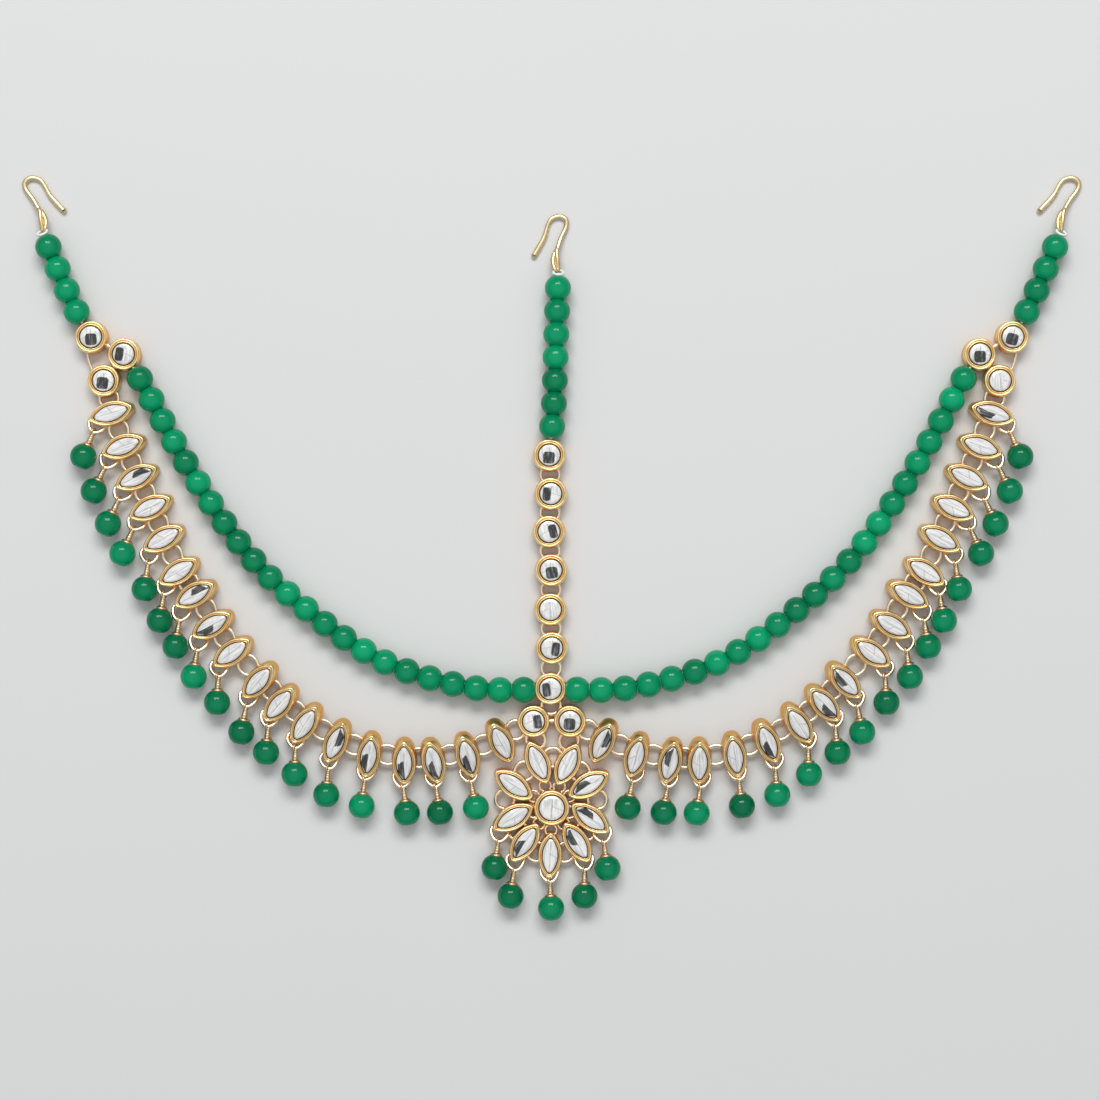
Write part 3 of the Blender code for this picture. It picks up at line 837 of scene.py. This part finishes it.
class Finish:
    """A material's or world's node tree and the way its nodes are made."""

    def __init__(self, owner):
        self.owner = owner
        owner.use_nodes = True
        self.tree = owner.node_tree
        self.tree.nodes.clear()

    def node(self, kind, settings=None, inputs=None, output=0):
        """A node of a type: its settings first, then the values or links of its sockets."""
        made = self.tree.nodes.new(kind)
        for key, value in (settings or {}).items():
            setattr(made, key, value)
        for key, value in (inputs or {}).items():
            if isinstance(value, Signal):
                self.tree.links.new(value.socket, made.inputs[key])
            else:
                made.inputs[key].default_value = value
        return Signal(self, made.outputs[output]) if made.outputs else None

    def place(self):
        return self.node("ShaderNodeTexCoord", output="Object")

    def noise(self, scale, detail=3.0, roughness=0.55, place=None):
        place = place or self.place()
        inputs = {"Vector": place, "Scale": scale, "Detail": detail, "Roughness": roughness}
        return self.node("ShaderNodeTexNoise", inputs=inputs)

    def ramped(self, value, low, high, least=0.0, most=1.0):
        """A smooth rise from the least at the low value to the most at the high one."""
        limits = {"From Min": low, "From Max": high, "To Min": least, "To Max": most}
        smooth = {"interpolation_type": "SMOOTHSTEP"}
        return self.node("ShaderNodeMapRange", smooth, {"Value": value, **limits})

    def level(self, word):
        return self.node("ShaderNodeAttribute", {"attribute_name": word}, output="Fac")

    def mixed(self, share, first, second):
        inputs = {0: share, 6: first, 7: second}
        return self.node("ShaderNodeMix", {"data_type": "RGBA"}, inputs, output=2)

    def bump(self, height, strength, distance, normal=None):
        inputs = {"Height": height, "Strength": strength, "Distance": distance}
        if normal:
            inputs["Normal"] = normal
        return self.node("ShaderNodeBump", inputs=inputs)

    def close(self, **inputs):
        """Ends the tree in a Principled BSDF; a name's underscores stand for spaces."""
        named = {key.replace("_", " "): value for key, value in inputs.items()}
        shader = self.node("ShaderNodeBsdfPrincipled", inputs=named)
        self.node("ShaderNodeOutputMaterial", inputs={"Surface": shader})


def satin_gold(finish, colour, light):
    """Gold plate with a fine grain, small hammer marks and painted shade: deeper amber walls and a
    dark olive, rougher groove beside the stone.
    """
    cloud = finish.ramped(finish.noise(700.0, 3.0), 0.35, 0.65)
    grain = finish.noise(4200.0, 3.0, 0.7)
    marks = finish.node(
        "ShaderNodeTexVoronoi",
        {"feature": "SMOOTH_F1"},
        {"Vector": finish.place(), "Scale": 1700.0, "Smoothness": 0.6},
    )
    shade = finish.level("shade")
    plate = finish.mixed(cloud, colour, light)
    # Painted shade: rows deep in the shade mark take a deeper amber, and the deepest, in the groove
    # beside the stone, a dark olive
    wall = finish.mixed(finish.ramped(shade, 0.02, 0.26), plate, (0.84, 0.42, 0.07, 1))
    painted_groove_shade = finish.ramped(shade + grain * 0.12, 0.5, 0.95)
    tint = finish.mixed(painted_groove_shade, wall, (0.26, 0.20, 0.06, 1))
    rough = 0.25 + grain * 0.2 + painted_groove_shade * 0.3
    normal = finish.bump(marks, 0.05, 0.0001)
    normal = finish.bump(grain, 0.16, 0.00004, normal)
    finish.close(Base_Color=tint, Roughness=rough, Metallic=1.0, Normal=normal)


def wire_gold(finish, colour, light):
    """Drawn wire: a paler and a redder plate cloud into each other, with fine scratches."""
    cloud = finish.noise(900.0, 2.0)
    grain = finish.noise(7000.0, 2.0)
    plate = finish.mixed(finish.level("tone") * 0.5 + cloud * 0.5, colour, light)
    rough = WIRE_ROUGHNESS[finish.owner.name] + grain * 0.15
    normal = finish.bump(grain, 0.25, 0.00003)
    finish.close(Base_Color=plate, Roughness=rough, Metallic=1.0, Normal=normal)


def foiled_stone(finish, colour, shadow):
    """A clear stone over silver foil, whose pattern follows the stone's own spot: brushed streaks
    along it, two creases that meet near its middle, and on most stones a painted dark reflection.
    It lies beside the crease of a pointed stone, and is a box with round corners, by a fourth power
    law, on a round one."""
    spot = finish.node("ShaderNodeAttribute", {"attribute_name": "spot"}, output="Vector")
    x, y, number = (
        finish.node("ShaderNodeSeparateXYZ", inputs={0: spot}, output=axis) for axis in range(3)
    )
    along = finish.node("ShaderNodeMapping", inputs={"Vector": spot, "Scale": (5.0, 1.1, 60.0)})
    streak = finish.noise(1.0, 5.0, 0.65, along)
    cloud = finish.noise(2.2, 2.0, 0.5, along)
    wave = (cloud - 0.5) * 0.5
    ramped, mixed = finish.ramped, finish.mixed
    crease = 1 - ramped(abs(x + wave * 0.35), 0.0, 0.075)
    crease = crease * ramped(abs(y), 0.95, 0.6)
    cross = 1 - ramped(abs(y - 0.12 + x * 0.3 + wave * 0.3), 0.0, 0.06)
    cross = cross * ramped(x, -0.02, 0.05) * ramped(number, 0.25, 0.3)
    rough_x = x + wave * 0.45
    rough_y = y + streak * 0.35 - 0.18
    # Painted reflection: dark surroundings mirrored in the stone, painted beside a pointed stone's
    # crease
    painted_reflection = ramped(rough_x - rough_y * 0.2 - number * 0.25, -0.12, -0.05)
    painted_reflection = painted_reflection * ramped(rough_x + rough_y * 0.12, 0.8, 0.72)
    painted_reflection = painted_reflection * ramped(rough_y + rough_x * 0.3 - number * 0.4, 0.06, 0.0)
    painted_reflection = painted_reflection * ramped(rough_y - rough_x * 0.45, -1.0, -0.9)
    painted_reflection = painted_reflection * ramped(number, DARK_REFLECTION_SHARE, DARK_REFLECTION_SHARE - 0.01)
    # On a round stone the painted dark reflection is a box with round corners
    slim = ramped(number, ROUND_NUMBER + 0.3, ROUND_NUMBER + 0.31)
    wide = abs(x + wave * 0.2 + slim * 0.34 + 0.04) * (slim * 0.8 + 1.8)
    high = abs(y + wave * 0.2 - slim * 0.18 + 0.24) * (1.8 - slim * 0.25)
    box = ramped(wide**4 + high**4, 1.2, 0.8)
    box = box * ramped(number, ROUND_NUMBER - 1, ROUND_NUMBER - 0.9)
    box = box * ramped(number, ROUND_NUMBER + 0.6, ROUND_NUMBER + 0.59)
    painted_reflection = painted_reflection + box
    foil = mixed(ramped(streak, 0.32, 0.6), shadow, colour)
    foil = mixed(finish.level("tone") * 0.16, foil, (0.45, 0.47, 0.50, 1))
    lines = (crease * 0.7 + cross * 0.5) * ramped(streak, 0.25, 0.6)
    foil = mixed(lines, foil, (0.07, 0.08, 0.09, 1))
    # Inside the painted dark reflection the foil's streaks show grey
    reflection_streaks = ramped(streak, 0.45, 0.75)
    dark = mixed(reflection_streaks, (0.004, 0.005, 0.005, 1), (0.24, 0.25, 0.24, 1))
    foil = mixed(painted_reflection, foil, dark)
    normal = finish.bump(streak, 0.1, 0.00005)
    coat = {"Coat_Weight": 1.0, "Coat_Roughness": 0.03}
    finish.close(Base_Color=foil, Roughness=0.22, Metallic=0.2, Normal=normal, **coat)


def cloudy_glass(finish, deep, light):
    """Cloudy green glass: every bead has its own depth, and its side away from the lamp is painted
    lighter, as if the light left it there."""
    cloud = finish.noise(330.0, 3.0)
    band = finish.noise(1500.0, 2.0)
    # Painted light: the side away from the lamp is lightened
    glow = finish.ramped(finish.level("shade"), 0.1, 1.0) * 0.4
    share = finish.ramped(finish.level("tone") * 0.85 + glow + cloud * 0.3 + band * 0.1, 0.2, 1.3)
    tint = finish.mixed(share, deep, light)
    finish.close(Base_Color=tint, Roughness=0.07, IOR=1.3)


def nylon_thread(finish, colour):
    """Pale nylon with a soft sheen and a little grey along its length."""
    cloud = finish.noise(2500.0, 2.0)
    tint = finish.mixed(cloud, colour, (0.66, 0.74, 0.70, 1))
    finish.close(Base_Color=tint, Roughness=0.4, Sheen_Weight=0.2)


def pale_floor(finish, colour):
    """Matt pale paper with a barely visible tooth."""
    cloud = finish.noise(6.0, 3.0)
    tint = finish.mixed(cloud, colour, tuple(0.97 * value for value in colour[:3]) + (1,))
    finish.close(Base_Color=tint, Roughness=0.8)


# How each finish is made, and the panel's colours that it takes
FINISHES = {
    "satin_gold": (satin_gold, "gold", "gold_light"),
    "drawn_wire": (wire_gold, "pale", "pale_light"),
    "dull_gold": (wire_gold, "dull", "dull_light"),
    "hook_gold": (wire_gold, "hook", "hook_light"),
    "foiled_stone": (foiled_stone, "stone", "stone_shade"),
    "cloudy_glass": (cloudy_glass, "glass_deep", "glass_light"),
    "nylon_thread": (nylon_thread, "thread"),
    "pale_floor": (pale_floor, "floor"),
}


def placed(name, data, place=(0, 0, 0)):
    """A new object in the scene."""
    item = bpy.data.objects.new(name, data)
    item.location = place
    bpy.context.scene.collection.objects.link(item)
    return item


def dressed(name, surface, finish):
    """A surface as an object in a finish, each finish made once from the panel's colours."""
    data = surface.mesh(name)
    if finish not in bpy.data.materials:
        make, *words = FINISHES[finish]
        colours = bpy.context.scene.jewel_finish
        new = Finish(bpy.data.materials.new(finish))
        make(new, *(getattr(colours, word) for word in words))
    data.materials.append(bpy.data.materials[finish])
    return placed(name, data)


def make_piece(name, surface, finish, nodes=()):
    """A finished piece that rides on the jewel and stands for its solids."""
    item = dressed(name, surface, finish)
    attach(item, "root")
    if nodes:
        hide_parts(*nodes)


def build_settings(places, name, nodes, rings, seed):
    """Bezels with their stones and the rings between them, as three pieces."""
    rng = np.random.default_rng(seed)
    bezels, stones = Surface(), Surface()
    for place in places:
        add_bezel(bezels, place, rng)
        add_stone(stones, place, rng)
    make_piece(f"{name}_bezels", bezels, "satin_gold", nodes)
    make_piece(f"{name}_stones", stones, "foiled_stone")
    make_piece(f"{name}_rings", rings, "drawn_wire")


def build_bands():
    for side, word in SIDES:
        rounds, marquises = band_places(side)
        outer, inner, lower = rounds
        rings = Surface()
        solder(rings, outer, inner)
        solder(rings, inner, lower)
        solder(rings, outer, lower, side * BOW_OFFSET, BOW_BULGE, RING_WIRE / 2)
        link(rings, lower, marquises[0], second_reach=BAND_END_REACH)
        for first, second in zip(marquises, marquises[1:]):
            link(rings, first, second, stretch=BAND_LINK_STRETCH)
        link(rings, marquises[-1], round_place(PAIR, side), first_reach=BAND_END_REACH)
        build_settings(rounds + marquises, f"band_{word}", [f"band_{word}"], rings, 11 + side)


def build_chain():
    column = [round_place(point, LEFT) for point in COLUMN]
    pair = [round_place(PAIR, side) for side in (LEFT, RIGHT)]
    rings = Surface()
    for first, second in zip(column, column[1:]):
        link(rings, first, second)
    solder(rings, *pair)
    middle = (column[-1].foot + (pair[0].foot + pair[1].foot) / 2) / 2
    add_ring(rings, middle + UP * RING_SEAT, [0, 1, 0])
    build_settings(column + pair, "chain_centre", ["chain_centre"], rings, 21)


def build_flower():
    centre = round_place((0, 0), LEFT, FLOWER_ROUND_DIAMETER)
    petals = [petal_place(petal) for petal in PETALS]
    rings = Surface()
    for petal in petals:
        middle, ahead = between(centre, petal, centre.width / 2, SMALL_RING_REACH)
        add_ring(rings, middle, ahead, SMALL_RING_RADIUS, SMALL_RING_WIRE)
    for first, second, reach in zip(petals, petals[1:] + petals[:1], PETAL_RINGS):
        outward = unit(((first.foot + second.foot) / 2 - centre.foot) * FLAT)
        add_ring(rings, centre.foot + UP * RING_SEAT + outward * reach / 1000, outward)
    for side, petal in zip((LEFT, RIGHT), petals):
        link(rings, petal, round_place(PAIR, side), first_reach=PAIR_RING_REACH)
    build_settings([centre, *petals], "flower", ["flower_pendant"], rings, 31)


def build_strings():
    rng = np.random.default_rng(41)
    nodes = ["beads_centre"]
    strings = []
    for side, word in SIDES:
        strings += zip(string_routes(side), (0.0, THREAD_LENGTH))
        nodes += [f"beads_{word}", f"beads_{word}_end"]
    strings.append((centre_route(), THREAD_LENGTH))
    beads, threads = Surface(), Surface()
    for route, reach in strings:
        string_beads(beads, route, rng)
        add_thread(threads, route, CLEARANCE + THREAD_GRIP, reach)
        if reach:
            add_loop(threads, route[-1], unit(route[-1] - route[-2]))
    make_piece("strung_beads", beads, "cloudy_glass", nodes)
    make_piece("threads", threads, "nylon_thread")


def build_hooks():
    hooks = Surface()
    rows = [(string_routes(side)[1], -side * SIDE_HOOK_TURN, -side) for side, _ in SIDES]
    for end, turn, side in [*rows, (centre_route(), CENTRE_HOOK_TURN, LEFT)]:
        foot = end[-1] + unit(end[-1] - end[-2]) * (THREAD_LENGTH + CLEARANCE)
        add_hook(hooks, foot, turn, side)
    nodes = ["hook_left", "hook_right", "hook_centre"]
    make_piece("hooks", hooks, "hook_gold", nodes)


def build_drops():
    for side, word, seed in ((LEFT, "left", 51), (RIGHT, "right", 52), (0, "flower", 53)):
        beads, metal, rings = Surface(), Surface(), Surface()
        add_drops(beads, metal, rings, side, np.random.default_rng(seed))
        nodes = [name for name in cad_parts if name.startswith(f"drop_{word}")]
        make_piece(f"drop_beads_{word}", beads, "cloudy_glass", nodes)
        make_piece(f"drop_caps_{word}", metal, "dull_gold")
        make_piece(f"drop_rings_{word}", rings, "drawn_wire")


def studio_sky():
    """A world that is bright overhead and dims towards the horizon, like a tent round a table."""
    sky = Finish(bpy.data.worlds.new("studio"))
    way = sky.node("ShaderNodeTexCoord", output="Generated")
    height = sky.node("ShaderNodeSeparateXYZ", inputs={0: way}, output="Z")
    strength = sky.ramped(height, *SKY_FADE)
    glow = sky.node("ShaderNodeBackground", inputs={"Color": SKY_COLOUR, "Strength": strength})
    sky.node("ShaderNodeOutputWorld", inputs={"Surface": glow})
    return sky.owner


def build_stage():
    """A pale floor, a soft lamp, the sky and the camera straight above, as the photo was taken."""
    scene = bpy.context.scene
    floor = Surface()
    corners = np.array([[-1.0, -1, 0], [1, -1, 0], [1, 1, 0], [-1, 1, 0]]) * FLOOR_REACH
    floor.add(corners, [np.array([[0, 1, 2, 3]])])
    item = dressed("floor", floor, "pale_floor")
    light = bpy.data.lights.new("key", "AREA")
    light.shape = "RECTANGLE"
    light.size, light.size_y = KEY_SIZE
    light.energy = KEY_POWER
    key = placed("key", light, KEY_PLACE)
    key.rotation_mode = "QUATERNION"
    key.rotation_quaternion = (-Vector(KEY_PLACE)).to_track_quat("-Z", "Y")
    scene.world = studio_sky()
    scene.view_settings.view_transform = "Standard"
    camera = bpy.data.cameras.new("camera")
    camera.sensor_fit = "AUTO"
    camera.angle = math.radians(CAMERA_ANGLE)
    scene.camera = placed("camera", camera, CAMERA_PLACE)


SIZES = {
    "bead": ("Diameter of a bead", 0.0060),
    "ring": ("Outer diameter of the rings between settings", 0.0052),
    "drop_ring": ("Outer diameter of the drops' rings", 0.00475),
    "ring_wire": ("Diameter of every ring's wire", 0.00088),
    "hook_wire": ("Diameter of the hooks' wire", 0.00122),
    "thread": ("Diameter of the nylon loops", 0.0006),
}
COLOURS = {
    "gold": ("Colour of the settings' plate", (0.94, 0.68, 0.31, 1)),
    "gold_light": ("Paler gold on the rims", (1.0, 0.87, 0.54, 1)),
    "pale": ("Redder plate of the rings' wire", (0.88, 0.66, 0.47, 1)),
    "pale_light": ("Creamy plate of the rings' wire", (0.98, 0.88, 0.68, 1)),
    "dull": ("Colour of the drops' caps", (0.50, 0.33, 0.16, 1)),
    "dull_light": ("Worn plate of the drops' caps", (0.92, 0.72, 0.50, 1)),
    "hook": ("Yellow plate of the hooks", (0.66, 0.50, 0.26, 1)),
    "hook_light": ("Worn plate of the hooks", (0.90, 0.76, 0.47, 1)),
    "stone": ("Brightest foil", (0.92, 0.90, 0.87, 1)),
    "stone_shade": ("Grey of the foil's streaks", (0.57, 0.58, 0.59, 1)),
    "glass_deep": ("Darkest bead", (0.0, 0.12, 0.045, 1)),
    "glass_light": ("Lightest bead", (0.0, 0.36, 0.15, 1)),
    "thread": ("Colour of the nylon", (0.86, 0.90, 0.87, 1)),
    "floor": ("Colour of the pale floor", (0.66, 0.66, 0.655, 1)),
}


def properties(make, table, limits):
    """The table's rows as properties, each named after its key."""
    found = {}
    for word, (said, value) in table.items():
        name = word.replace("_", " ").capitalize()
        found[word] = make(name=name, description=said, default=value, **limits)
    return found


class JewelSizes(bpy.types.PropertyGroup):
    """Sizes of the parts that the looks alone decide."""

    limits = {"min": 0.0001, "precision": 5, "unit": "LENGTH"}
    __annotations__ = properties(bpy.props.FloatProperty, SIZES, limits)


class JewelFinish(bpy.types.PropertyGroup):
    """Colours of the jewel and of its stage."""

    limits = {"size": 4, "min": 0, "max": 1, "subtype": "COLOR"}
    __annotations__ = properties(bpy.props.FloatVectorProperty, COLOURS, limits)


class Undoable:
    """An operator of this kind can be undone."""

    bl_options = {"REGISTER", "UNDO"}


class JEWEL_OT_bands(Undoable, bpy.types.Operator):
    """Make the two curved bands of settings"""

    bl_idname = "jewel.bands"
    bl_label = "Make bands"

    def execute(self, context):
        build_bands()
        return {"FINISHED"}


class JEWEL_OT_chain(Undoable, bpy.types.Operator):
    """Make the centre chain of round settings"""

    bl_idname = "jewel.chain"
    bl_label = "Make centre chain"

    def execute(self, context):
        build_chain()
        return {"FINISHED"}


class JEWEL_OT_flower(Undoable, bpy.types.Operator):
    """Make the flower pendant"""

    bl_idname = "jewel.flower"
    bl_label = "Make flower"

    def execute(self, context):
        build_flower()
        return {"FINISHED"}


class JEWEL_OT_strings(Undoable, bpy.types.Operator):
    """Make the bead strings and their thread"""

    bl_idname = "jewel.strings"
    bl_label = "Make bead strings"

    def execute(self, context):
        build_strings()
        return {"FINISHED"}


class JEWEL_OT_drops(Undoable, bpy.types.Operator):
    """Make the bead drops with their caps and rings"""

    bl_idname = "jewel.drops"
    bl_label = "Make drops"

    def execute(self, context):
        build_drops()
        return {"FINISHED"}


class JEWEL_OT_hooks(Undoable, bpy.types.Operator):
    """Make the three wire hooks"""

    bl_idname = "jewel.hooks"
    bl_label = "Make hooks"

    def execute(self, context):
        build_hooks()
        return {"FINISHED"}


class JEWEL_OT_stage(Undoable, bpy.types.Operator):
    """Make the floor, the lights and the camera"""

    bl_idname = "jewel.stage"
    bl_label = "Make stage"

    def execute(self, context):
        build_stage()
        return {"FINISHED"}


class JEWEL_PT_sidebar(bpy.types.Panel):
    """Lists the steps that dress the jewel"""

    bl_label = "Matha Patti"
    bl_idname = "JEWEL_PT_sidebar"
    bl_space_type = "VIEW_3D"
    bl_region_type = "UI"
    bl_category = "Matha Patti"

    def draw(self, context):
        for name in SIZES:
            self.layout.prop(context.scene.jewel_sizes, name)
        for name in COLOURS:
            self.layout.prop(context.scene.jewel_finish, name)
        for operator in STEPS:
            self.layout.operator(operator.bl_idname)


STEPS = (
    JEWEL_OT_bands,
    JEWEL_OT_chain,
    JEWEL_OT_flower,
    JEWEL_OT_strings,
    JEWEL_OT_drops,
    JEWEL_OT_hooks,
    JEWEL_OT_stage,
)
CLASSES = (JewelSizes, JewelFinish, *STEPS, JEWEL_PT_sidebar)


def register():
    for item in CLASSES:
        bpy.utils.register_class(item)
    bpy.types.Scene.jewel_sizes = bpy.props.PointerProperty(type=JewelSizes)
    bpy.types.Scene.jewel_finish = bpy.props.PointerProperty(type=JewelFinish)


def unregister():
    del bpy.types.Scene.jewel_finish
    del bpy.types.Scene.jewel_sizes
    for item in reversed(CLASSES):
        bpy.utils.unregister_class(item)


def main():
    register()
    bpy.ops.jewel.bands()
    bpy.ops.jewel.chain()
    bpy.ops.jewel.flower()
    bpy.ops.jewel.strings()
    bpy.ops.jewel.drops()
    bpy.ops.jewel.hooks()
    bpy.ops.jewel.stage()


if __name__ == "__main__":
    main()
